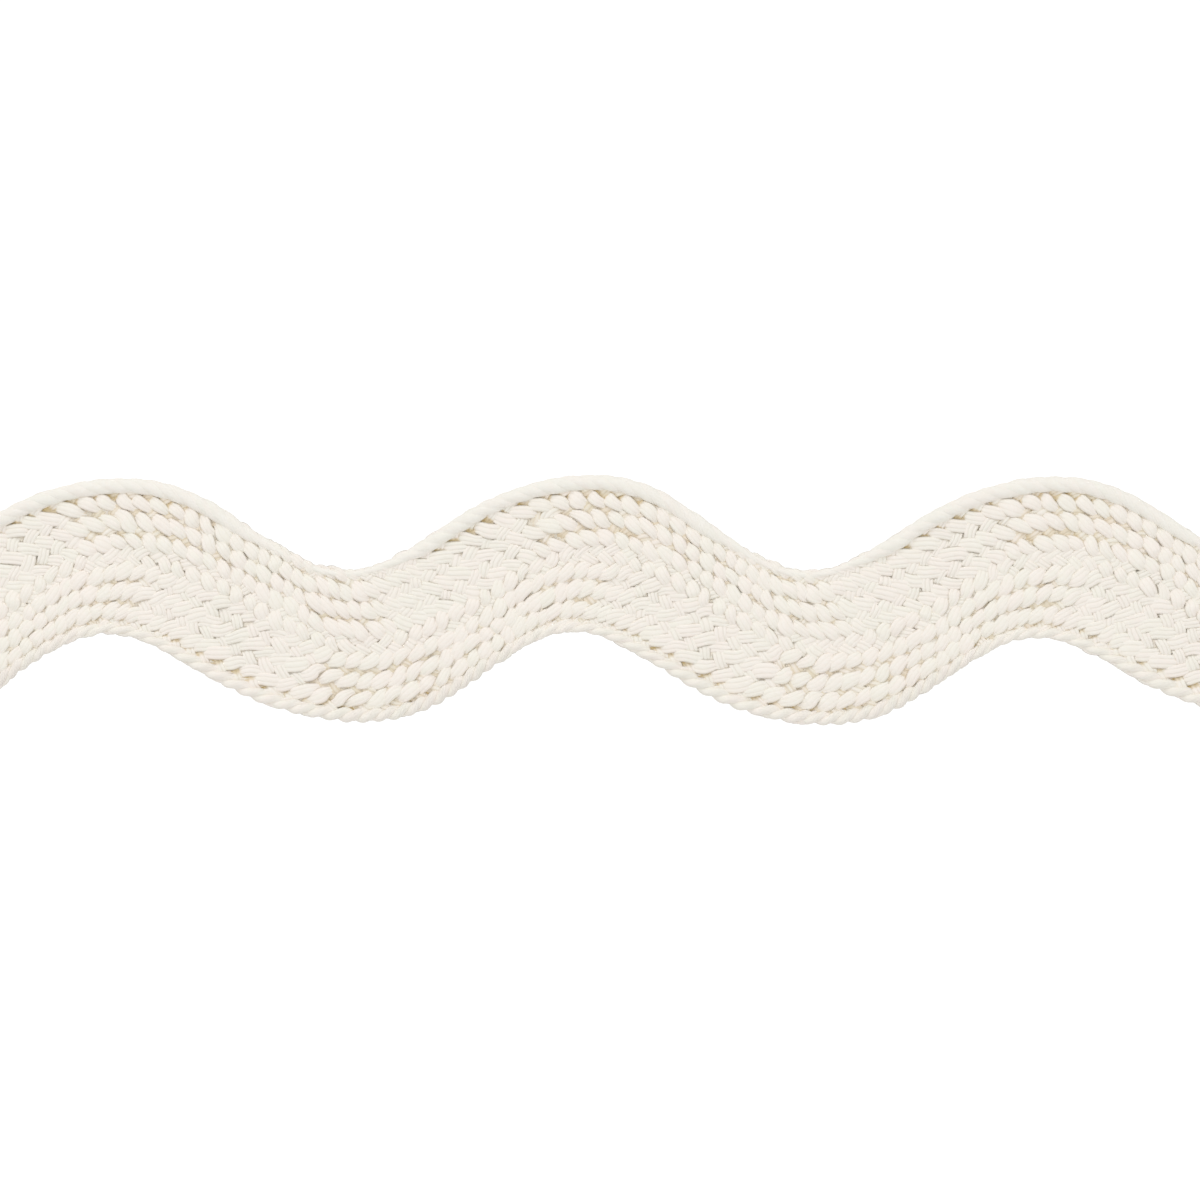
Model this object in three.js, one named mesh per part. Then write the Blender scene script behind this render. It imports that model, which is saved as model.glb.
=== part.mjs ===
// A cut length of ric rac: a flat cotton braid that runs in even waves, lying face up and flat.
// Millimetres, +Z up. X runs along the trim, Y across it, and the origin is under its middle.
import * as THREE from "three";

// The wave of the two edges
const WAVE = 46.15; // one full wave, crest to crest
const WAVES = 3.5; // waves in the cut length
const LENGTH = WAVE * WAVES;
const EDGE_OUT = 8.45; // mean distance of each edge from the straight line down the middle
const EDGE_SWING = 4.37; // how far each edge swings to either side of that distance
const EDGE_ROUND = 0.6; // makes the outer crests broad and the inner valleys tight
const CREST_TURN = THREE.MathUtils.degToRad(13); // where in its turn the wave is at X = 0
const LEAN_TURN = THREE.MathUtils.degToRad(20); // leans the rounding a little to one side

// How the trim departs from an even wave, a row for each bend: bend 0 is the crest near X = 0,
// and each bend is half a wave on. slide is along X, and upper and lower lift an edge along Y.
const UNEVEN = [
  { bend: -4, slide: 0.4, upper: 0.1, lower: -0.1 },
  { bend: -3, slide: -0.4, upper: -0.3, lower: 0.2 },
  { bend: -2, slide: -1.0, upper: -0.15, lower: 0.05 },
  { bend: -1, slide: -0.2, upper: -0.65, lower: 0.0 },
  { bend: 0, slide: -0.6, upper: 0.2, lower: 0.2 },
  { bend: 1, slide: -0.4, upper: -0.75, lower: -0.3 },
  { bend: 2, slide: -0.4, upper: 0.0, lower: -0.4 },
  { bend: 3, slide: 0.5, upper: -0.4, lower: 0.1 },
  { bend: 4, slide: -0.3, upper: 0.2, lower: -0.2 },
];

// The braid's thickness and relief
const HALF_WIDTH = 7.7; // half the band, measured square to its run
const CLOTH = 1.2; // thickness of the braid in its flat places
const CORD = 1.5; // width of the rolled cord along each edge
const CORD_TOP = 1.4; // height of that cord
const RIB_PITCH = 1.55; // from one raised rib of the braid to the next
const RIB_HEIGHT = 0.55; // how far a rib stands out where it is strongest
const RIB_LEAST = 0.15; // what is left of the ribs in the flat places, as a share
const POINTS_A_RIB = 4;
const UPPER_RIB_TURN = THREE.MathUtils.degToRad(100); // past its crest, the upper half's ribs are strongest
const HALF_BLEND = 1.5; // the two halves' ribs fade into each other this far from the middle

const STEPS_A_WAVE = 24;
const END_SQUARING = 9; // over this last stretch the cross lines turn square to X, for a straight cut

// Smooth values between the rows of UNEVEN
function unevenAt(x, column) {
  const place = THREE.MathUtils.clamp(x / (WAVE / 2), UNEVEN[0].bend, UNEVEN.at(-1).bend);
  const row = Math.min(Math.floor(place - UNEVEN[0].bend), UNEVEN.length - 2);
  const share = THREE.MathUtils.smoothstep(place, UNEVEN[row].bend, UNEVEN[row + 1].bend);
  return THREE.MathUtils.lerp(UNEVEN[row][column], UNEVEN[row + 1][column], share);
}

function turnAt(x) {
  return (2 * Math.PI * (x - unevenAt(x, "slide"))) / WAVE + CREST_TURN;
}

function evenEdge(turn) {
  return EDGE_OUT + EDGE_SWING * Math.cos(turn) - EDGE_ROUND * Math.cos(2 * turn + LEAN_TURN);
}

function upperEdge(x) {
  return evenEdge(turnAt(x)) + unevenAt(x, "upper");
}

// The lower edge is the upper one turned over and moved on by half a wave
function lowerEdge(x) {
  return -evenEdge(turnAt(x) + Math.PI) + unevenAt(x, "lower");
}

function middleSlope(x) {
  const near = 0.05;
  const rise = upperEdge(x + near) + lowerEdge(x + near) - upperEdge(x - near) - lowerEdge(x - near);
  return rise / 2 / (2 * near);
}

// The place on the band at station x of the middle line, and a share across from -1 to 1.
// Cross lines stand square to the middle line, and square to X at the two cut ends.
function onBand(x, share) {
  const fromEnd = THREE.MathUtils.smoothstep(LENGTH / 2 - Math.abs(x), 0, END_SQUARING);
  const reach = HALF_WIDTH * Math.sin(Math.atan(middleSlope(x))) * fromEnd;
  const top = new THREE.Vector2(x - reach, upperEdge(x - reach));
  const bottom = new THREE.Vector2(x + reach, lowerEdge(x + reach));
  return bottom.lerp(top, (share + 1) / 2);
}

// Height of the ribs above the flat cloth. The upper half's ribs are strongest as the band falls
// from a crest, and the lower half's as it rises from a valley.
function ribHeight(x, across) {
  const inner = HALF_WIDTH - CORD;
  if (Math.abs(across) >= inner) {
    return 0;
  }
  const wave = 0.5 - 0.5 * Math.cos((2 * Math.PI * (across + inner)) / RIB_PITCH);
  const turn = turnAt(x) - UPPER_RIB_TURN;
  const upper = 0.5 + 0.5 * Math.cos(turn);
  const isUpper = THREE.MathUtils.smoothstep(across, -HALF_BLEND, HALF_BLEND);
  const strength = THREE.MathUtils.lerp(1 - upper, upper, isUpper);
  return RIB_HEIGHT * wave * THREE.MathUtils.lerp(RIB_LEAST, 1, strength);
}

// The braid's section, across and up: flat beneath, a rolled cord at each edge, and enough points
// between the cords to carry the ribs
function bandSection() {
  const inner = HALF_WIDTH - CORD;
  const section = new THREE.Shape();
  section.moveTo(-HALF_WIDTH + CORD / 2, 0);
  section.lineTo(HALF_WIDTH - CORD / 2, 0);
  section.quadraticCurveTo(HALF_WIDTH, 0, HALF_WIDTH, CORD_TOP / 2);
  section.quadraticCurveTo(HALF_WIDTH, CORD_TOP, HALF_WIDTH - CORD / 2, CORD_TOP);
  const gaps = Math.round((2 * inner) / RIB_PITCH) * POINTS_A_RIB;
  for (let gap = 0; gap <= gaps; gap += 1) {
    section.lineTo(inner - (2 * inner * gap) / gaps, CLOTH);
  }
  section.lineTo(-HALF_WIDTH + CORD / 2, CORD_TOP);
  section.quadraticCurveTo(-HALF_WIDTH, CORD_TOP, -HALF_WIDTH, CORD_TOP / 2);
  section.quadraticCurveTo(-HALF_WIDTH, 0, -HALF_WIDTH + CORD / 2, 0);
  return section;
}

// The section is run straight, then each of its points is moved to its place on the wavy band
function braidGeometry() {
  const geometry = new THREE.ExtrudeGeometry(bandSection(), {
    depth: LENGTH,
    steps: Math.round(STEPS_A_WAVE * WAVES),
    bevelEnabled: false,
    curveSegments: 2,
  });
  const points = geometry.getAttribute("position");
  for (let i = 0; i < points.count; i += 1) {
    const across = points.getX(i);
    const height = points.getY(i);
    const x = points.getZ(i) - LENGTH / 2;
    const place = onBand(x, across / HALF_WIDTH);
    const relief = height > CLOTH / 2 ? ribHeight(x, across) : 0;
    points.setXYZ(i, place.x, place.y, height + relief);
  }
  geometry.computeBoundingBox();
  const middle = geometry.boundingBox.getCenter(new THREE.Vector3());
  geometry.translate(-middle.x, -middle.y, 0);
  geometry.computeVertexNormals();
  return geometry;
}

const naturalCotton = new THREE.MeshStandardMaterial({
  name: "natural_cotton",
  color: 0xf1eadb,
  roughness: 0.92,
  metalness: 0,
});

const ricRac = new THREE.Group();
const braid = new THREE.Mesh(braidGeometry(), naturalCotton);
braid.name = "ric_rac_braid";
ricRac.add(braid);

export default ricRac;
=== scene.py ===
# %% [markdown]
# A cut length of ric rac. The real thing is a flat braid of cotton yarns whose tension makes it run in
# even waves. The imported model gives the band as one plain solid, and this lesson lays the real yarns
# in its place, one by one, as the braiding machine does.

# %% Load the frame
import math

import bmesh
import bpy
import numpy as np
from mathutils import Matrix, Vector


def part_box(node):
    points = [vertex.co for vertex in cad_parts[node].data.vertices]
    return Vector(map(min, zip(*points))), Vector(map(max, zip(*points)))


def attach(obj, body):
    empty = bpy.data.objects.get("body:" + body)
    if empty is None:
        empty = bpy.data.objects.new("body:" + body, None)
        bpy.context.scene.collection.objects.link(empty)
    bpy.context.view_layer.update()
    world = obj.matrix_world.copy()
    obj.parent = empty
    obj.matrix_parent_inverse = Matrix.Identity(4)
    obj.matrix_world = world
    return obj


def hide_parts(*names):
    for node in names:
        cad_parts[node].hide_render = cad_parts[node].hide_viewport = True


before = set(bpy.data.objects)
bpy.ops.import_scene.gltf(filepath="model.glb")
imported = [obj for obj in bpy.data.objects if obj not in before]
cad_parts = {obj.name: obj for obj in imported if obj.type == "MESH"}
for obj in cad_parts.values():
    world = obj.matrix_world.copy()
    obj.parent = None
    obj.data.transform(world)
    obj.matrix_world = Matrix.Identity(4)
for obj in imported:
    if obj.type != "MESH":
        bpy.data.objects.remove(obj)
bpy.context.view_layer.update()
BAND_NODE = "ric_rac_braid"
low_corner, high_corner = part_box(BAND_NODE)
print("packed band, metres:", [round(side, 4) for side in high_corner - low_corner])

# %% [markdown]
# The band's outline is a formula. Each edge swings about the middle line, and the lower edge is the
# upper one turned over and moved on by half a wave. A short table holds what makes the real trim
# uneven, a row for each bend. All sizes are in millimetres until a mesh is finished.

# %% The wave of the two edges
MM = 0.001
WAVE = 46.15
WAVES = 3.5
LENGTH = WAVE * WAVES
EDGE_OUT = 8.45
EDGE_SWING = 4.37
EDGE_ROUND = 0.6
CREST_TURN = math.radians(13)
LEAN_TURN = math.radians(20)
HALF_WIDTH = 7.7
UNEVEN = [
    {"bend": -4, "slide": 0.4, "upper": 0.1, "lower": -0.1},
    {"bend": -3, "slide": -0.4, "upper": -0.3, "lower": 0.2},
    {"bend": -2, "slide": -1.0, "upper": -0.15, "lower": 0.05},
    {"bend": -1, "slide": -0.2, "upper": -0.65, "lower": 0.0},
    {"bend": 0, "slide": -0.6, "upper": 0.2, "lower": 0.2},
    {"bend": 1, "slide": -0.4, "upper": -0.75, "lower": -0.3},
    {"bend": 2, "slide": -0.4, "upper": 0.0, "lower": -0.4},
    {"bend": 3, "slide": 0.5, "upper": -0.4, "lower": 0.1},
    {"bend": 4, "slide": -0.3, "upper": 0.2, "lower": -0.2},
]


def smooth(low, high, value):
    """0 below low, 1 above high, and a smooth climb between them."""
    share = np.clip((value - low) / (high - low), 0, 1)
    return share * share * (3 - 2 * share)


def uneven_at(x, column):
    """Smooth values between the rows of UNEVEN."""
    place = np.clip(x / (WAVE / 2), UNEVEN[0]["bend"], UNEVEN[-1]["bend"])
    row = np.minimum(np.floor(place - UNEVEN[0]["bend"]).astype(int), len(UNEVEN) - 2)
    values = np.array([bend[column] for bend in UNEVEN])
    share = smooth(0, 1, place - UNEVEN[0]["bend"] - row)
    return values[row] * (1 - share) + values[row + 1] * share


def turn_at(x):
    """How far round its wave the band is: a whole turn from crest to crest."""
    return 2 * math.pi * (x - uneven_at(x, "slide")) / WAVE + CREST_TURN


def even_edge(turn):
    return EDGE_OUT + EDGE_SWING * np.cos(turn) - EDGE_ROUND * np.cos(2 * turn + LEAN_TURN)


def upper_edge(x):
    return even_edge(turn_at(x)) + uneven_at(x, "upper")


def lower_edge(x):
    return -even_edge(turn_at(x) + math.pi) + uneven_at(x, "lower")


along = np.linspace(-LENGTH / 2, LENGTH / 2, 1201)
MIDDLE_Y = (upper_edge(along).max() + lower_edge(along).min()) / 2
BAND_AREA = float(np.mean(upper_edge(along) - lower_edge(along))) * LENGTH
print("overall width", round(float(upper_edge(along).max() - lower_edge(along).min()), 2), "mm")
print("flat area", round(BAND_AREA), "square mm")

# %% [markdown]
# The yarns are laid out on a straight band first, and each point is then carried to the wavy one. That
# needs the arc length of the middle line. The tension that bends the band also drags its slack half
# back along it: the upper half on a rise, and the lower half on a fall.

# %% From the straight band to the wavy one
ROPE_TURN = math.radians(100)  # past its crest by this much, the band's upper half is at its tightest
STEADINESS = 0.97
DRAG = 6.0
DRAG_FROM = 0.42  # the drag starts this share of the way across
DRAG_CURVE = 1.2
SPARE = 14  # the yarns start this far beyond the cuts
STATIONS = 4001
station_x = np.linspace(-LENGTH / 2 - SPARE, LENGTH / 2 + SPARE, STATIONS)
station_mid = (upper_edge(station_x) + lower_edge(station_x)) / 2
station_arc = np.concatenate([[0], np.cumsum(np.hypot(np.diff(station_x), np.diff(station_mid)))])
station_arc -= np.interp(0, station_x, station_arc)


def x_at(arc):
    return np.interp(arc, station_arc, station_x)


def falling_at(arc):
    """1 half-way down a fall of the band, 0 half-way up a rise, and a steady change between."""
    turn = turn_at(x_at(arc))
    return 0.5 + 0.5 * np.arcsin(STEADINESS * np.cos(turn - ROPE_TURN)) / math.asin(STEADINESS)


def on_band(arc, part):
    """The place at an arc length along the middle line, and a part across from 0 to 1."""
    falling = falling_at(arc)
    upper_ramp = np.clip((part - DRAG_FROM) / (1 - DRAG_FROM), 0, 1) ** DRAG_CURVE
    lower_ramp = np.clip((1 - DRAG_FROM - part) / (1 - DRAG_FROM), 0, 1) ** DRAG_CURVE
    x = x_at(arc) - DRAG * ((1 - falling) * upper_ramp + falling * lower_ramp)
    low = lower_edge(x)
    return x, low + (upper_edge(x) - low) * part - MIDDLE_Y


print("arc length of the middle line", round(float(np.ptp(station_arc)), 1), "mm")

# %% [markdown]
# Each edge cord is drawn thin where the band bends sharply round it: the upper one in a valley, and the
# lower one, a little, under a crest. The yarns need to know this too, because they turn back inside it.

# %% How thick the edge cords are
VALLEY_CORD = 0.45  # the upper cord in a valley, as a share of what it is on a crest
VALLEY_ENDS = (-0.9, -0.3)  # cosines of the wave's turn where it is at its thinnest, and whole again
CORD_LEAN = math.radians(10)
CREST_CORD = 0.8  # the lower cord under a crest, as a share of what it is in a valley
CREST_ENDS = (0.2, 0.8)


def cord_share(x, side):
    """How thick an edge cord is at x, as a share: side is 1 for the upper one, and -1 for the lower."""
    turn = turn_at(x)
    if side > 0:
        return VALLEY_CORD + (1 - VALLEY_CORD) * smooth(*VALLEY_ENDS, np.cos(turn + CORD_LEAN))
    return 1 - (1 - CREST_CORD) * smooth(*CREST_ENDS, np.cos(turn))


for side in (1, -1):
    shares = cord_share(along, side)
    print("cord on side", side, "from", round(float(shares.min()), 2), "to", round(float(shares.max()), 2))

# %% [markdown]
# The braid. Every yarn runs from edge to edge and back at a slant, over two others and under two. Seen
# from above, the crossings sit on a lattice: a column for each step across and a row for each step
# along. Where the band rises, the yarns of its lower half pull tight and stand up as ropes, and those
# of its upper half spread flat. Where it falls, the halves change places. So the lattice is squeezed on
# the roped side and spread on the flat one.

# %% The lattice of crossings
YARNS = 31
PITCH = 1.55  # between neighbouring yarns that run the same way, along the band
SQUEEZE = 0.24
SQUEEZE_BLEND = 0.08
EDGE_PULL = 0.35  # on the flat side the rows nearest the edge are drawn towards its cord
EDGE_PULL_REACH = 0.1
INSET = 0.6  # the yarns turn this far inside the edge, within its cord
EDGE_TURN = 1.0  # how gently a yarn turns at the edge, in columns
UNEVEN_LAY = 0.11  # how far crossings stray from an even lattice
STRAY_ALONG = [(1.13, 0.9), (0.57, -1.31)]  # the ripples of that, in radians a row and a column
STRAY_ACROSS = [(0.71, 1.7), (0.31, 0.83)]


def stray(row, column, ripples):
    """How far a crossing strays, one way, from its place on an even lattice."""
    return UNEVEN_LAY * sum(np.sin(a_row * row + a_column * column) for a_row, a_column in ripples)


def crossing_place(row, column):
    """Where on the straight band a crossing lies: its arc length and its part across."""
    arc = row * PITCH / 2 + stray(row, column, STRAY_ALONG)
    column = column + stray(row, column, STRAY_ACROSS)
    part = (column - EDGE_TURN) / (YARNS - 2 * EDGE_TURN)
    falling = falling_at(arc)
    hill = math.hypot(0.5, SQUEEZE_BLEND) - np.hypot(part - 0.5, SQUEEZE_BLEND)
    low_pull = part * np.exp(-part / EDGE_PULL_REACH)
    high_pull = (1 - part) * np.exp(-(1 - part) / EDGE_PULL_REACH)
    part = part + (2 * falling - 1) * (SQUEEZE * hill - EDGE_PULL * (high_pull + low_pull))
    low_inset = INSET * cord_share(x_at(arc) - DRAG * falling, -1) / (2 * HALF_WIDTH)
    high_inset = INSET * cord_share(x_at(arc) - DRAG * (1 - falling), 1) / (2 * HALF_WIDTH)
    return arc, low_inset + part * (1 - low_inset - high_inset)


part_in_middle = crossing_place(0, YARNS / 2)[1]
print("the middle column lies", round(float(part_in_middle), 2), "of the way across")

# %% [markdown]
# One yarn's way across the lattice. Its column climbs and falls like a triangle wave. Its height is a
# wave too: up while it lies over its two neighbours, down while it dives under the next two, and it
# wraps round the edge at each turn.

# %% A yarn's way across the lattice
FLOAT_TURN = 2 * math.pi / 4  # a yarn's wave repeats every four columns: over two, and under two


def lattice_way(number, rows):
    """A yarn's column at each row, whether it climbs, how high its wave is, and how it swings."""
    travel = (rows + 2 * number) % (2 * YARNS)
    climbing = travel < YARNS
    column = np.where(climbing, travel, 2 * YARNS - travel)
    wave = np.cos(FLOAT_TURN * (column - 0.5)) * np.where(climbing, 1, -1)
    from_low = np.where(climbing, travel, travel - 2 * YARNS)
    from_high = travel - YARNS
    for from_turn in (from_low, from_high):
        wave = np.where(np.abs(from_turn) < 0.5, np.sin(math.pi * from_turn), wave)
    swing = np.sin(FLOAT_TURN * (column - 0.5))
    return column, climbing, wave, swing


def eased(column):
    """The column again, but turning gently at both edges."""
    return YARNS - np.hypot(YARNS - np.hypot(column, EDGE_TURN), EDGE_TURN)


print("the first yarn's columns:", lattice_way(0, np.arange(0, 2 * YARNS, 10))[0])

# %% [markdown]
# What a yarn does depends on where it is. In a roped place one of the two directions leads: its yarns
# bulge like seeds on a husk, and the other direction gives way beneath them. In a flat place the yarns
# that run level with the trim float a little longer on top. Each of these is a share from 0 to 1, or to
# -1 for a yarn that floats shorter, and a small table says what each of them does to a plain yarn.

# %% How a yarn lies in ropes and in flat places
MIDDLE_ENDS = (0.45, 0.55)  # the two halves of the band pass into each other between these levels
ROPE_REACH = 0.08  # where a half is tightest, its ropes reach this far past the middle
ROPE_ENDS = (0.2, 0.42)  # how tight a half is where its ropes begin, and where they are full
LOW_EDGE_ROPE = 0.4  # a rope beside each cord never lies quite flat
LOW_EDGE_ENDS = (0.1, 0.2)
HIGH_EDGE_ROPE = 0.15
HIGH_EDGE_ENDS = (0.8, 0.88)
GIVE_ENDS = (0.34, 0.46)  # from this level to that, the yarns beneath the ropes stop giving way
# stay: how much longer it is up. snap: how steeply it goes over and under. swing and crown: how high.
PLAIN = {"snap": 1.8, "swing": 0.17, "width": 0.68, "thick": 0.21}
CHANGES = {
    "lead": {
        "stay": 0.3, "snap": -0.4, "swing": 0.09, "crown": 0.03,
        "width": -0.25, "width_on_top": 0.28, "thick_on_top": 0.09,
    },
    "give": {"stay": -0.38, "swing": -0.04, "crown": -0.04},
    "float": {"stay": 0.3, "width": 0.03},
}


def yarn_roles(column, climbing, falling):
    """How far a yarn leads in a rope, gives way beneath one, and floats long in a flat place."""
    level = column / YARNS
    high_half = smooth(*MIDDLE_ENDS, level - ROPE_REACH * (1 - 2 * falling))
    rope_low = smooth(*ROPE_ENDS, 1 - falling) * (1 - high_half)
    rope_high = smooth(*ROPE_ENDS, falling) * high_half
    rope_low = np.maximum(rope_low, LOW_EDGE_ROPE * (1 - smooth(*LOW_EDGE_ENDS, level)))
    rope_high = np.maximum(rope_high, HIGH_EDGE_ROPE * smooth(*HIGH_EDGE_ENDS, level))
    give_low = rope_low * (1 - smooth(*GIVE_ENDS, level))
    give_high = rope_high * (1 - smooth(*GIVE_ENDS, 1 - level))
    level_with_trim = falling * (1 - high_half) - (1 - falling) * high_half
    return {
        "lead": np.where(climbing, rope_low, rope_high),
        "give": np.where(climbing, give_high, give_low),
        "float": level_with_trim * np.where(climbing, 1, -1),
    }


def by_role(measure, roles):
    """A measure of a plain yarn, changed by each role as far as the yarn plays it."""
    changes = sum(change.get(measure, 0) * roles[role] for role, change in CHANGES.items())
    return PLAIN.get(measure, 0) + changes


def yarn_body(wave, roles):
    """A yarn's height above the middle of the braid, its half width and its half thickness."""
    over = 0.5 + 0.5 * wave
    snap = by_role("snap", roles)
    lift = np.tanh(snap * (wave + by_role("stay", roles))) / np.tanh(snap)
    height = lift * by_role("swing", roles) + np.maximum(wave, 0) * by_role("crown", roles)
    half_width = by_role("width", roles) + over * by_role("width_on_top", roles)
    half_thick = by_role("thick", roles) + over * by_role("thick_on_top", roles)
    return height, half_width, half_thick


for lead in (0, 1):
    sizes_on_top = yarn_body(1, {"lead": lead, "give": 0, "float": 0})
    print("a yarn on top, lead", lead, [round(float(size), 2) for size in sizes_on_top], "mm")

# %% [markdown]
# Beside each edge cord runs a gutter, where the yarns dive under it. The upper one shows from before
# each crest to past it, and the lower one on the falls. Near a crest a second groove, two ropes further
# in, is deep too. Each is a narrow bell across the columns.

# %% Gutters
GUTTER_COLUMN = 3.1
GUTTER_SHIFT = 0.5  # where the band is roped, the gutters lie this much further in
GUTTER_WIDTH = 0.4
UPPER_LEAN = math.radians(36)  # the upper gutter is deepest this far before the crest
UPPER_ENDS = (-0.25, 0.15)  # cosines of the turn from there where it begins, and where it is full
LOWER_DEPTH = 0.5
LOWER_ENDS = (0.3, 0.7)
SECOND_GUTTER = 8  # how many columns further in the second groove lies
SECOND_DEPTH = 0.5
SECOND_LEAN = math.radians(5)
SECOND_ENDS = (0.5, 0.9)


def gutter_depth(arc, column, falling):
    """How deep in a gutter a yarn lies, from 0 to 1."""
    turn = turn_at(x_at(arc) - DRAG * (1 - falling))
    is_upper = column / YARNS > 0.5
    roped = np.where(is_upper, falling, 1 - falling)
    past_gutter = np.minimum(column, YARNS - column) - GUTTER_COLUMN - GUTTER_SHIFT * roped
    first = np.exp(-((past_gutter / GUTTER_WIDTH) ** 2))
    second = np.exp(-(((past_gutter - SECOND_GUTTER) / GUTTER_WIDTH) ** 2))
    upper_depth = smooth(*UPPER_ENDS, np.cos(turn + UPPER_LEAN))
    lower_depth = LOWER_DEPTH * smooth(*LOWER_ENDS, falling)
    second_depth = SECOND_DEPTH * smooth(*SECOND_ENDS, np.cos(turn + SECOND_LEAN)) * is_upper
    return first * np.where(is_upper, upper_depth, lower_depth) + second * second_depth


for column in (GUTTER_COLUMN, YARNS - GUTTER_COLUMN):
    depths = gutter_depth(station_arc, column, falling_at(station_arc))
    print("gutter at column", column, "is up to", round(float(depths.max()), 2), "deep_painted_shade")

# %% [markdown]
# These come together in a yarn's route. Near an edge the yarn rises to the middle of the cord, which
# hides its turn. In a rope each bulge swings across it and stands a little higher at its lower end, as
# a strand does in a twisted cord.

# %% A yarn's route
MIDDLE_Z = 0.62
CORD_Z = 0.74  # height of the middle of the edge cords, which swallow the turns of the yarns
EDGE_HIDE = 1.6  # how many columns wide that is
EDGE_THINNING = 0.35
GUTTER_DROP = 0.22
ROPE_SWING = 0.2  # on top of a rope a yarn swings across it, and beneath it runs along
ROPE_TILT = 0.02  # the lower end of each of its lobes stands this much higher
ROPE_CLOSING = 0.45  # how far a yarn's ends close up in a rope


def yarn_route(number, rows):
    """Numbers along one yarn: its place, height, girth, and how it lies for the finish."""
    column, climbing, wave, swing = lattice_way(number, rows)
    arc, part = crossing_place(rows, eased(column))
    falling = falling_at(arc)
    roles = yarn_roles(column, climbing, falling)
    height, half_width, half_thick = yarn_body(wave, roles)
    hidden = np.exp(-((np.minimum(column, YARNS - column) / EDGE_HIDE) ** 2))
    gutter = gutter_depth(arc, column, falling)
    height = MIDDLE_Z + height
    height = height + hidden * (CORD_Z - height) - GUTTER_DROP * gutter
    tilt = ROPE_TILT * swing * np.where(climbing, -1, 1)
    return {
        "arc": arc - ROPE_SWING * swing * roles["lead"],
        "part": part,
        "height": height + tilt * roles["lead"],
        "half_width": half_width * (1 - EDGE_THINNING * hidden),
        "half_thick": half_thick,
        "open": 1 - ROPE_CLOSING * roles["lead"],
        "gutter": gutter,
        "give": roles["give"] * (0.5 + 0.5 * wave) * (1 - hidden),
    }


# %% [markdown]
# A yarn is three fine ends laid side by side, so its section is a flat bun with three lobes above and
# three beneath. Where it leads in a rope, the ends close up and the section is rounder. No yarn is even
# by nature, so its way, height, girth and tone change a little from place to place. For the finish,
# each point also learns how deep in shade it lies, and the finish paints that shade into its colour.

# %% A yarn's section, carried along its route
RINGS_A_STEP = 4
ARC_STRETCH = 1.12  # the band's middle line is not quite this many times as long as the trim
SPARE_SHARE = 0.9  # how much of the spare length the yarns fill
SECTION = [(-1, 0), (-0.7, 1), (-0.35, 1), (0, 1), (0.35, 1), (0.7, 1), (1, 0)]
SECTION += [(0.7, -1), (0.35, -1), (0, -1), (-0.35, -1), (-0.7, -1)]
SIDES = len(SECTION)
BUN = {1: 0.0, 0.7: 0.74, 0.35: 0.9, 0: 1.0}
LOBE_GROOVE = 0.32
LOBE_EDGE = 0.35  # the grooves between the ends lie this far out, as a share of the half width
LEAST_Z = 0.03  # no yarn reaches lower than this
WANDER = 0.09
UNEVEN_HEIGHT = 0.05
UNEVEN_WIDTH = 0.12
UNEVEN_THICK = 0.1
UNEVEN_TONE = 0.5
SHADE_TOP = 1.0  # below this height a yarn comes to lie in shade, which the finish paints
SHADE_REACH = 0.6  # and its shade deepens over this much more
SHADE_MOST = 0.6
GUTTER_SHADE = {"top": 0.35, "most": 0.4}  # in a gutter the shade reaches higher and gets deeper
GROOVE_SHADE = {"top": 0.26, "most": 0.13}  # and so it does between ropes, for the yarns that give way
chance = np.random.default_rng(7)


def slow_noise(count, rings, size):
    """Slow random change along a yarn, with a draw for every few rings."""
    draws = chance.normal(0, size, count + 2)
    places = np.linspace(0, count, rings)
    low = np.floor(places).astype(int)
    share = smooth(0, 1, places - low)
    return draws[low] * (1 - share) + draws[low + 1] * share


def run_of(x, y):
    """The direction of a line at each of its points, and the length of line up to each."""
    run_x = np.gradient(x)
    run_y = np.gradient(y)
    run = np.hypot(run_x, run_y)
    length = np.concatenate([[0], np.cumsum(np.hypot(np.diff(x), np.diff(y)))])
    return run_x / run, run_y / run, length


def shade_at(height, gutter, give):
    """How deep in shade a point of a yarn lies, from 0 to 1, for the finish to paint as shade."""
    top = SHADE_TOP + GUTTER_SHADE["top"] * gutter + GROOVE_SHADE["top"] * give
    most = SHADE_MOST + GUTTER_SHADE["most"] * gutter + GROOVE_SHADE["most"] * give
    return np.clip((top - height) / SHADE_REACH, 0, np.minimum(most, 1))


def yarn_rings(number):
    """The rings of one yarn, as an array of rings by points by three, and what its finish needs."""
    half_rows = int((LENGTH * ARC_STRETCH / 2 + SPARE * SPARE_SHARE) / (PITCH / 2))
    rings = 2 * half_rows * RINGS_A_STEP + 1
    route = yarn_route(number, np.linspace(-half_rows, half_rows, rings))
    x, y = on_band(route["arc"], route["part"])
    run_x, run_y, length = run_of(x, y)
    wander = slow_noise(half_rows, rings, WANDER)
    height = route["height"] + slow_noise(half_rows, rings, UNEVEN_HEIGHT)
    width = route["half_width"] * (1 + slow_noise(half_rows, rings, UNEVEN_WIDTH))
    thick = route["half_thick"] * (1 + slow_noise(half_rows, rings, UNEVEN_THICK))
    groove = LOBE_GROOVE * route["open"]
    points = np.zeros((rings, SIDES, 3))
    for i, (across, face) in enumerate(SECTION):
        bulge = BUN[abs(across)] * (1 - groove * (abs(across) == LOBE_EDGE))
        points[:, i, 0] = x - run_y * (width * across + wander)
        points[:, i, 1] = y + run_x * (width * across + wander)
        points[:, i, 2] = np.maximum(height + face * thick * bulge, LEAST_Z)
    shade_depth = shade_at(points[..., 2], route["gutter"][:, None], route["give"][:, None])
    tone = slow_noise(half_rows // 2, rings, UNEVEN_TONE)
    return {"points": points, "shade_depth": shade_depth, "length": length, "tone": tone, "open": route["open"]}


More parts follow.
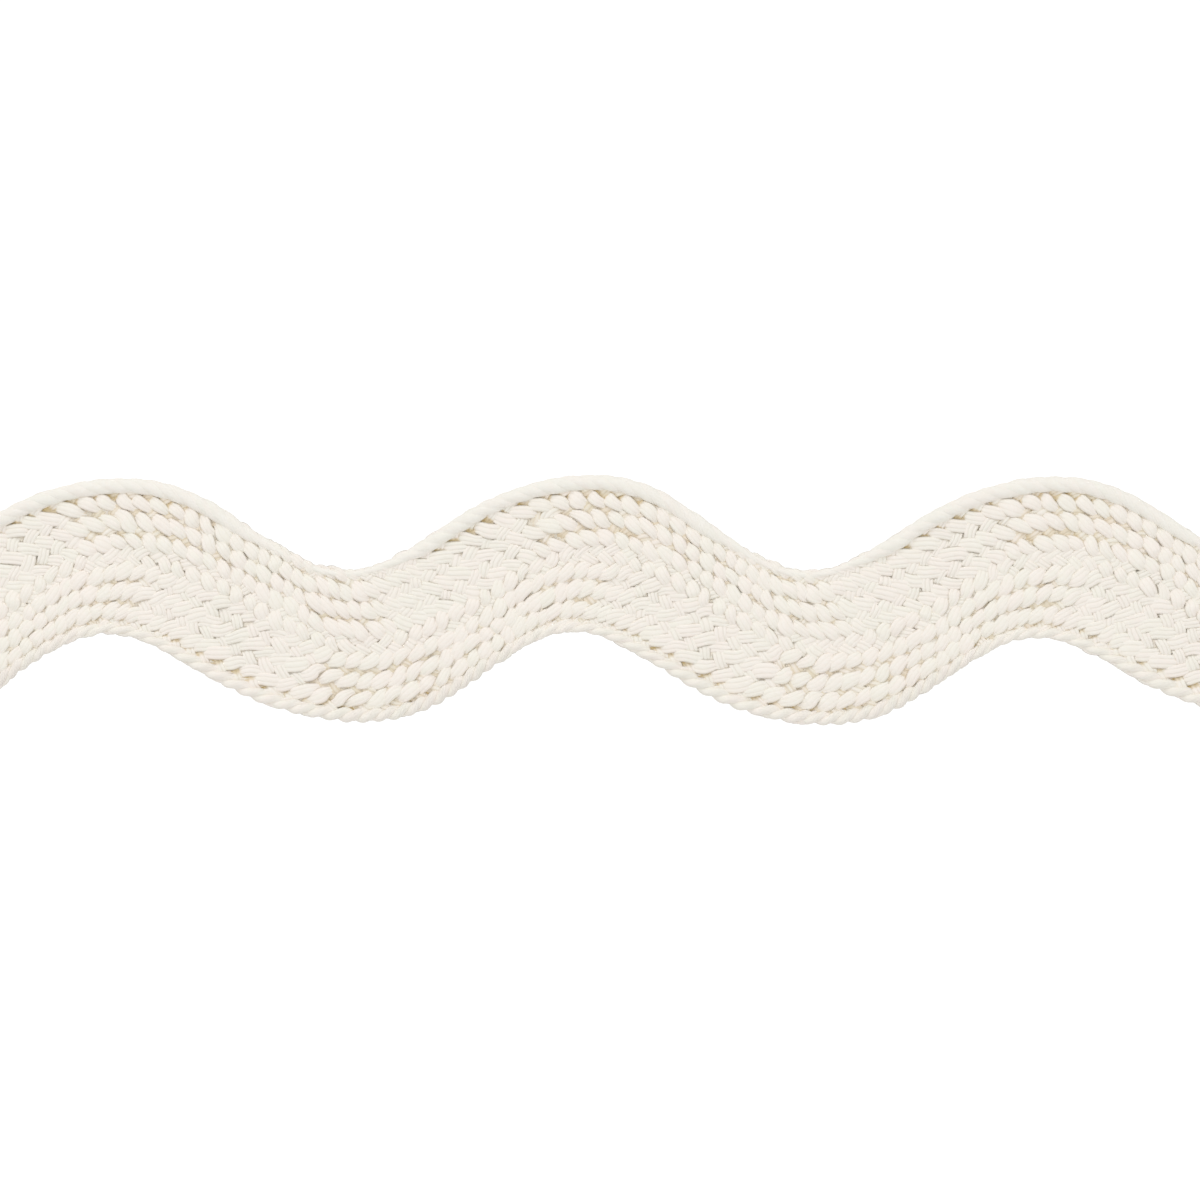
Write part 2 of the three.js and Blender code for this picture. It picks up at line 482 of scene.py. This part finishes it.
sample = yarn_rings(0)
print("one yarn:", len(sample["points"]), "rings,", round(float(sample["length"][-1])), "mm long")

# %% [markdown]
# Each yarn starts as a flat grid, which is rolled into a tube and laid on its route. A seam closes it,
# and the two cuts of the trim go through all the tubes at once with bisect_plane. The mesh keeps a map
# of how far along and how far round the yarn each point is, and three attributes for the finish: how
# deep in painted shade the point lies, the tone of that stretch of yarn, and how open its ends lie.

# %% Roll grids into tubes
CUT = LENGTH / 2 * MM
CUT_SLACK = 0.15 * MM  # the cut yarns end unevenly, by up to this much
SAME_PLACE = 1e-7  # points nearer than this, in metres, are one
CAP_SIDES = 400  # no cut tube has more sides than this
ATTRIBUTES = ("shade_depth", "tone", "open")


def empty_piece(name):
    mesh = bpy.data.meshes.new(name)
    piece = bpy.data.objects.new(name, mesh)
    bpy.context.scene.collection.objects.link(piece)
    return piece


def cut_ends(work, place):
    """Cut a bmesh square off at both ends of the trim."""
    for end in (-1, 1):
        geometry = work.verts[:] + work.edges[:] + work.faces[:]
        bmesh.ops.bisect_plane(
            work, geom=geometry, dist=SAME_PLACE, plane_co=(end * place, 0, 0),
            plane_no=(end, 0, 0), clear_outer=True,
        )


def cap_ends(work):
    """Close the cut tubes, each cap a little further out than the cut."""
    caps = bmesh.ops.holes_fill(work, edges=work.edges, sides=CAP_SIDES)["faces"]
    for cap in caps:
        outward = 1 + chance.uniform(0, CUT_SLACK / CUT)
        for vert in cap.verts:
            vert.co.x *= outward


def roll_tube(work, tube, yarn_map, layers):
    """Roll a new grid into one tube of a bmesh, with its map and its attributes."""
    rings = len(tube["points"])
    made = bmesh.ops.create_grid(work, x_segments=rings - 1, y_segments=SIDES, size=0.5)
    order = sorted(made["verts"], key=lambda vert: (round(vert.co.y * SIDES), vert.co.x))
    length = tube["length"][-1]
    for face in {face for vert in order for face in vert.link_faces}:
        for loop in face.loops:
            flat = loop.vert.co
            loop[yarn_map].uv = ((flat.x + 0.5) * length, flat.y + 0.5)
    for place, vert in enumerate(order):
        side, ring = divmod(place, rings)
        vert.co = tube["points"][ring, side % SIDES] * MM
        vert[layers["shade_depth"]] = float(tube["shade_depth"][ring, side % SIDES])
        vert[layers["tone"]] = float(tube["tone"][ring])
        vert[layers["open"]] = float(tube["open"][ring])


def lay_tubes(name, tubes):
    """Make one piece of many closed tubes, cut off square at both ends of the trim."""
    work = bmesh.new()
    yarn_map = work.loops.layers.uv.new("yarn_map")
    for attribute in ATTRIBUTES:
        work.verts.layers.float.new(attribute)
    layers = {attribute: work.verts.layers.float[attribute] for attribute in ATTRIBUTES}
    for tube in tubes:
        roll_tube(work, tube, yarn_map, layers)
    bmesh.ops.remove_doubles(work, verts=work.verts, dist=SAME_PLACE)
    cut_ends(work, CUT - CUT_SLACK)
    cap_ends(work)
    bmesh.ops.recalc_face_normals(work, faces=work.faces)
    piece = empty_piece(name)
    work.to_mesh(piece.data)
    work.free()
    piece.data.shade_smooth()
    print(name, len(piece.data.polygons), "faces")
    return piece


GROUP = 7
starts = range(0, YARNS, GROUP)
groups = [range(start, min(start + GROUP, YARNS)) for start in starts]
braid = [lay_tubes(f"yarns_{i + 1}", [yarn_rings(n) for n in group]) for i, group in enumerate(groups)]

# %% [markdown]
# Along each edge the turned yarns close up into a cord. It could be the turns themselves, but the eye
# reads a rope, so each edge gets strands that twist round one another just inside the outline. The
# upper cord has three, thick and slack, which makes it almost smooth. The lower cord has two, tighter
# laid, and shows each as a slanting lobe, longer on the falls.

# %% The line that an edge cord follows
CORD_RINGS = 900
CORD_SPARE = 3  # the cords start this far beyond the cuts
CORD_FLAT = 0.9  # the cords are this much lower than they are wide
FALL_STRETCH = 0.25  # how much longer the lobes are where the band falls
EDGE_CORDS = [
    {
        "name": "upper_edge_cord", "side": 1, "plies": 3,
        "strand": 0.64, "spread": 0.17, "lobe": 1.7, "open": 0.1,
    },
    {
        "name": "lower_edge_cord", "side": -1, "plies": 2,
        "strand": 0.5, "spread": 0.27, "lobe": 1.5, "open": 0.2,
    },
]


def cord_line(cord):
    """The cord's middle, the way out of the band, its thickness as a share, its length and its twist."""
    x = np.linspace(-LENGTH / 2 - CORD_SPARE, LENGTH / 2 + CORD_SPARE, CORD_RINGS)
    edge = upper_edge(x) if cord["side"] > 0 else lower_edge(x)
    slope = np.gradient(edge, x)
    out_x = -slope / np.hypot(1, slope) * cord["side"]
    out_y = cord["side"] / np.hypot(1, slope)
    share = cord_share(x, cord["side"])
    inset = (cord["strand"] + cord["spread"]) * share
    step = np.hypot(np.diff(x), np.diff(edge))
    falling = falling_at(np.interp(x, station_x, station_arc))
    lobe = cord["lobe"] * (1 + FALL_STRETCH * falling[1:])
    return {
        "x": x - out_x * inset, "y": edge - out_y * inset - MIDDLE_Y,
        "out_x": out_x, "out_y": out_y, "share": share,
        "length": np.concatenate([[0], np.cumsum(step)]),
        "twist": np.concatenate([[0], np.cumsum(step * 2 * math.pi / (cord["plies"] * lobe))]),
    }


# %% The strands of the edge cords
CORD_SWELLS = 100  # how many draws along a cord change its girth, and how many its tone
CORD_TONES = 60
UNEVEN_GIRTH = 0.06
UNEVEN_CORD_TONE = 0.4
LEAST_CORD_Z = 0.02
CORD_SHADE_TOP = 1.2  # below this height a cord's inner side lies in painted shade
CORD_SHADE_REACH = 0.7
INNER_ENDS = (0.1, -0.4)  # from here inwards, across the cord, that shade sets in


def cord_strand(cord, line, number):
    """One strand of an edge cord, as rings for lay_tubes."""
    turn = line["twist"] + 2 * math.pi * number / cord["plies"]
    spread = cord["spread"] * line["share"]
    swell = 1 + slow_noise(CORD_SWELLS, CORD_RINGS, UNEVEN_GIRTH)
    girth = cord["strand"] * line["share"] * swell
    points = np.zeros((CORD_RINGS, SIDES, 3))
    shade_depth = np.zeros((CORD_RINGS, SIDES))
    for i in range(SIDES):
        round_turn = 2 * math.pi * i / SIDES + turn
        out = spread * np.cos(turn) + girth * np.cos(round_turn)
        height = CORD_Z + CORD_FLAT * (spread * np.sin(turn) + girth * np.sin(round_turn))
        points[:, i, 0] = line["x"] + line["out_x"] * out
        points[:, i, 1] = line["y"] + line["out_y"] * out
        points[:, i, 2] = np.maximum(height, LEAST_CORD_Z)
        below = np.clip((CORD_SHADE_TOP - height) / CORD_SHADE_REACH, 0, 1)
        shade_depth[:, i] = below * smooth(*INNER_ENDS, out)
    tone = slow_noise(CORD_TONES, CORD_RINGS, UNEVEN_CORD_TONE)
    loose = np.full(CORD_RINGS, cord["open"])
    return {"points": points, "shade_depth": shade_depth, "length": line["length"], "tone": tone, "open": loose}


def cord_strands(cord):
    line = cord_line(cord)
    return [cord_strand(cord, line, number) for number in range(cord["plies"])]


cords = [lay_tubes(cord["name"], cord_strands(cord)) for cord in EDGE_CORDS]

# %% [markdown]
# Deep in the braid the eye meets no light at all, only the shaded backs of other yarns. A thin sheet in
# the middle stands for that heart. It is the band's own flat shape.

# %% Heart of the braid
HEART_TOP = 0.66
HEART_THICK = 0.36
HEART_SHARE = 0.88
HEART_BACK = 0.2  # its ends stay this far inside the cuts
HEART_SPARE = 9  # it starts this far beyond them, before it is cut
HEART_ALONG = 300  # steps along the trim, and across it
HEART_ACROSS = 16
HEART_SHADE_ENDS = (0.36, 0.44)  # its painted shade turns from pale to deep between these places, as shares of its width
heart = empty_piece("braid_heart")
work = bmesh.new()
shade_depth_layer = work.verts.layers.float.new("shade_depth")
bmesh.ops.create_grid(work, x_segments=HEART_ALONG, y_segments=HEART_ACROSS, size=0.5)
arc_low = np.interp(-LENGTH / 2 - HEART_SPARE, station_x, station_arc)
arc_high = np.interp(LENGTH / 2 + HEART_SPARE, station_x, station_arc)
for vert in work.verts:
    arc = arc_low + (vert.co.x + 0.5) * (arc_high - arc_low)
    vert[shade_depth_layer] = float(smooth(*HEART_SHADE_ENDS, abs(vert.co.y)))
    x, y = on_band(arc, 0.5 + vert.co.y * HEART_SHARE)
    vert.co = (float(x) * MM, float(y) * MM, HEART_TOP * MM)
cut_ends(work, CUT - HEART_BACK * MM)
bmesh.ops.recalc_face_normals(work, faces=work.faces)
bmesh.ops.solidify(work, geom=work.faces[:], thickness=HEART_THICK * MM)
bmesh.ops.recalc_face_normals(work, faces=work.faces)
work.to_mesh(heart.data)
work.free()
heart.data.shade_smooth()
print("heart", len(heart.data.polygons), "faces")

# %% [markdown]
# A finish is a network of nodes. Written out node by node it would bury the idea, so one class wraps a
# socket and lets plain sums build the Math nodes, and another makes every other node.

# %% Shader sums in plain Python


class Value:
    """An output of a node that can stand in a sum."""

    def __init__(self, finish, node, output=0):
        self.finish = finish
        self.node = node
        self.socket = node.outputs[output]

    def take(self, output):
        """Another output of the same node."""
        return Value(self.finish, self.node, output)

    def sum(self, operation, *values):
        sockets = dict(enumerate(values))
        return self.finish.node("ShaderNodeMath", {"operation": operation}, sockets)

    def __add__(self, other):
        return self.sum("ADD", self, other)

    def __sub__(self, other):
        return self.sum("SUBTRACT", self, other)

    def __mul__(self, other):
        return self.sum("MULTIPLY", self, other)

    def __pow__(self, other):
        return self.sum("POWER", self, other)

    def __rsub__(self, other):
        return self.sum("SUBTRACT", other, self)

    def __abs__(self):
        return self.sum("ABSOLUTE", self)

    __radd__ = __add__
    __rmul__ = __mul__

    def sine(self):
        return self.sum("SINE", self)

    def floor(self):
        return self.sum("FLOOR", self)

    def climb(self, low, high):
        """0 below low, 1 above high."""
        sockets = {"Value": self, "From Min": low, "From Max": high}
        return self.finish.node("ShaderNodeMapRange", {"interpolation_type": "SMOOTHSTEP"}, sockets)


class Finish:
    """A material and the nodes that make it."""

    def __init__(self, name):
        self.material = bpy.data.materials.new(name)
        self.material.use_nodes = True
        self.tree = self.material.node_tree
        self.shader = self.tree.nodes["Principled BSDF"]

    def feed(self, socket, value):
        if isinstance(value, Value):
            self.tree.links.new(value.socket, socket)
        else:
            socket.default_value = value

    def node(self, kind, settings=None, sockets=None, output=0):
        """A new node: its settings first, then a value or a link for each of its sockets."""
        node = self.tree.nodes.new(kind)
        for name, setting in (settings or {}).items():
            setattr(node, name, setting)
        for name, value in (sockets or {}).items():
            self.feed(node.inputs[name], value)
        return Value(self, node, output)

    def blend(self, share, first, second):
        """One colour passing into another."""
        sockets = {0: share, 6: first, 7: second}
        return self.node("ShaderNodeMix", {"data_type": "RGBA"}, sockets, 2)

    def attribute(self, name):
        return self.node("ShaderNodeAttribute", {"attribute_name": name}, output="Fac")

    def noise(self, vector, scale, detail):
        sockets = {"Vector": vector, "Scale": scale, "Detail": detail, "Roughness": 0.55}
        return self.node("ShaderNodeTexNoise", sockets=sockets)

    def point(self, x, y, z):
        return self.node("ShaderNodeCombineXYZ", sockets={"X": x, "Y": y, "Z": z})


# %% [markdown]
# Undyed cotton is never one colour. Each stretch of yarn leans a little to pink or to green. The gaps
# between its ends are painted darker, as shade, and what lies deep in the braid is painted a warm tan,
# as the shade there, because light reaches it only off other yarns. The fibres are spun, so their fine
# streaks run at a slant to the yarn. All of it follows the map made with the tubes: how far along the
# yarn, in millimetres, and how far round.

# %% Cotton
ENDS_ROUND = 6
YARN_ROUND = 2.4
FIBRE_SLANT = 0.45
STREAKS_ACROSS = 6.0  # streaks a millimetre across the fibres, and along the yarn
STREAKS_ALONG = 1.1
CLOUDS_ALONG = 0.4
STREAK_SHIFT = 9.0  # the tone moves both patterns along, so that no two yarns look alike
CLOUD_SHIFT = 5.0
END_SHIFT = 3.7  # and so does the number of the end
PALE_SHARE = 0.5  # how far the streaks, the painted shade of the gaps and the painted shade of the depths take the colour over
GAP_SHADE_SHARE = 0.35
PAINTED_SHADE_SHARE = 0.75
RELIEF = 0.08  # height of the ends and fibres, in millimetres


def spun_cotton(name, pink, green, pale, painted_gap_shade, painted_shade_tan):
    """Cotton yarn in five colours: two for stretches, one for streaks, two of painted shade for gaps and
    depths.
    """
    cotton = Finish(name)
    spot = cotton.node("ShaderNodeUVMap", {"uv_map": "yarn_map"})
    spot = cotton.node("ShaderNodeSeparateXYZ", sockets={"Vector": spot})
    along_yarn = spot.take("X")
    round_yarn = spot.take("Y")
    tone = cotton.attribute("tone")
    shade_depth = cotton.attribute("shade_depth")
    loose = cotton.attribute("open")
    ends = abs((round_yarn * (math.pi * ENDS_ROUND)).sine())
    # painted shade mask: the grooves between a yarn's ends
    gap_shade_mask = (1 - ends.climb(0.0, 0.55)) * loose
    which_end = (round_yarn * ENDS_ROUND).floor()
    across_yarn = round_yarn * YARN_ROUND + along_yarn * FIBRE_SLANT
    across_streaks = across_yarn * STREAKS_ACROSS
    place = cotton.point(across_streaks, along_yarn * STREAKS_ALONG, tone * STREAK_SHIFT)
    streaks = cotton.noise(place, scale=1.0, detail=2.0)
    place = cotton.point(which_end * END_SHIFT, along_yarn * CLOUDS_ALONG, tone * CLOUD_SHIFT)
    clouds = cotton.noise(place, scale=1.0, detail=1.0)
    colour = cotton.blend((tone * 0.35 + clouds).climb(0.2, 0.8), green, pink)
    colour = cotton.blend(streaks.climb(0.35, 0.75) * PALE_SHARE, colour, pale)
    # the grooves between the ends get a darker painted shade
    colour = cotton.blend(gap_shade_mask * GAP_SHADE_SHARE, colour, painted_gap_shade)
    # painted shade: a warm tan where a yarn or cord lies deep in shade
    colour = cotton.blend(shade_depth.climb(0.42, 1.0) * PAINTED_SHADE_SHARE, colour, painted_shade_tan)
    cotton.feed(cotton.shader.inputs["Base Color"], colour)
    cotton.feed(cotton.shader.inputs["Roughness"], 0.95 - 0.08 * streaks)
    cotton.shader.inputs["Specular IOR Level"].default_value = 0.25
    relief = ends ** 0.7 * loose + streaks * 0.5
    bump = {"Strength": 0.7, "Distance": RELIEF * MM, "Height": relief}
    cotton.feed(cotton.shader.inputs["Normal"], cotton.node("ShaderNodeBump", sockets=bump))
    print(name, len(cotton.tree.nodes), "nodes")
    return cotton


yarn_cotton = spun_cotton(
    "braided_cotton", pink=(0.94, 0.87, 0.80, 1), green=(0.915, 0.88, 0.79, 1),
    pale=(0.95, 0.92, 0.865, 1), painted_gap_shade=(0.82, 0.75, 0.63, 1), painted_shade_tan=(0.68, 0.52, 0.25, 1),
)
cord_cotton = spun_cotton(
    "edge_cord_cotton", pink=(0.925, 0.87, 0.80, 1), green=(0.905, 0.88, 0.80, 1),
    pale=(0.935, 0.915, 0.87, 1), painted_gap_shade=(0.84, 0.79, 0.70, 1), painted_shade_tan=(0.62, 0.48, 0.25, 1),
)

# %% [markdown]
# The heart is seen only through the gaps, and its colour is all painted shade. Under the gutters, along
# its sides, it is painted a deep golden tan, and between them a paler tan.

# %% The shaded heart
FLECKS = 900.0  # a metre
shade = Finish("shaded_cotton")
flecks = shade.noise(shade.node("ShaderNodeTexCoord").take("Object"), scale=FLECKS, detail=2.0)
# painted shade: flecked deep golden tan under the gutters, pale tan between them
deep_painted_shade = shade.blend(flecks.climb(0.3, 0.7), (0.60, 0.46, 0.22, 1), (0.72, 0.58, 0.33, 1))
colour = shade.blend(shade.attribute("shade_depth"), (0.88, 0.82, 0.71, 1), deep_painted_shade)
shade.feed(shade.shader.inputs["Base Color"], colour)
shade.shader.inputs["Roughness"].default_value = 0.95

upper_cord, lower_cord = cords
for piece in braid + [lower_cord]:
    piece.data.materials.append(yarn_cotton.material)
upper_cord.data.materials.append(cord_cotton.material)
heart.data.materials.append(shade.material)

# %% [markdown]
# All pieces ride on the one body. The heart takes the place of the imported band.

# %% Join the pieces to the frame
for piece in braid + cords + [heart]:
    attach(piece, "root")
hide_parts(BAND_NODE)
print("pieces on the frame:", [piece.name for piece in braid + cords + [heart]])

# %% [markdown]
# The trim lies on a sheet so bright that it shows pure white. A floor that glowed would light the trim
# from beneath, so this one is plain and pale to all light, and only the camera sees it as pure white.
# The light on the trim is soft and comes mostly from above its upper edge.

# %% Floor
FLOOR_REACH = 2  # metres each way
FLOOR_GLOW = 1.1
floor = empty_piece("floor")
work = bmesh.new()
bmesh.ops.create_grid(work, x_segments=1, y_segments=1, size=FLOOR_REACH)
work.to_mesh(floor.data)
work.free()
pale_floor = Finish("pale_floor")
pale_floor.shader.inputs["Base Color"].default_value = (0.8, 0.8, 0.8, 1)
pale_floor.shader.inputs["Roughness"].default_value = 0.9
seen = pale_floor.node("ShaderNodeLightPath").take("Is Camera Ray")
glow = pale_floor.node("ShaderNodeEmission", sockets={"Strength": FLOOR_GLOW})
plain = Value(pale_floor, pale_floor.shader)
mixed = pale_floor.node("ShaderNodeMixShader", sockets={0: seen, 1: plain, 2: glow})
pale_floor.feed(pale_floor.tree.nodes["Material Output"].inputs["Surface"], mixed)
floor.data.materials.append(pale_floor.material)

# %% Light
SKY_STRENGTH = 0.866
world = bpy.data.worlds.new("studio")
bpy.context.scene.world = world
world.use_nodes = True
world.node_tree.nodes["Background"].inputs["Color"].default_value = (1, 1, 1, 1)
world.node_tree.nodes["Background"].inputs["Strength"].default_value = SKY_STRENGTH


def area_lamp(name, place, size, power):
    """A square lamp that faces the middle of the trim."""
    lamp = bpy.data.lights.new(name, "AREA")
    lamp.size = size
    lamp.energy = power
    holder = bpy.data.objects.new(name, lamp)
    bpy.context.scene.collection.objects.link(holder)
    holder.location = place
    direction = -holder.location
    holder.rotation_euler = direction.to_track_quat("-Z", "Y").to_euler()
    return holder


area_lamp("key", place=(-0.25, 0.6, 0.45), size=0.35, power=1.2)
area_lamp("fill", place=(0.5, -0.2, 0.6), size=0.5, power=0.2)

# %% Camera
SEEN_WIDTH = 0.12
LENS = 100
SENSOR = 36
camera_data = bpy.data.cameras.new("camera")
camera_data.lens = LENS
camera_data.sensor_width = SENSOR
camera = bpy.data.objects.new("camera", camera_data)
camera.location = (0, 0, SEEN_WIDTH * LENS / SENSOR)
bpy.context.scene.collection.objects.link(camera)
bpy.context.scene.camera = camera
bpy.context.scene.view_settings.view_transform = "Standard"
print("camera", round(camera.location.z, 3), "m above the trim, which it sees", SEEN_WIDTH, "m of")
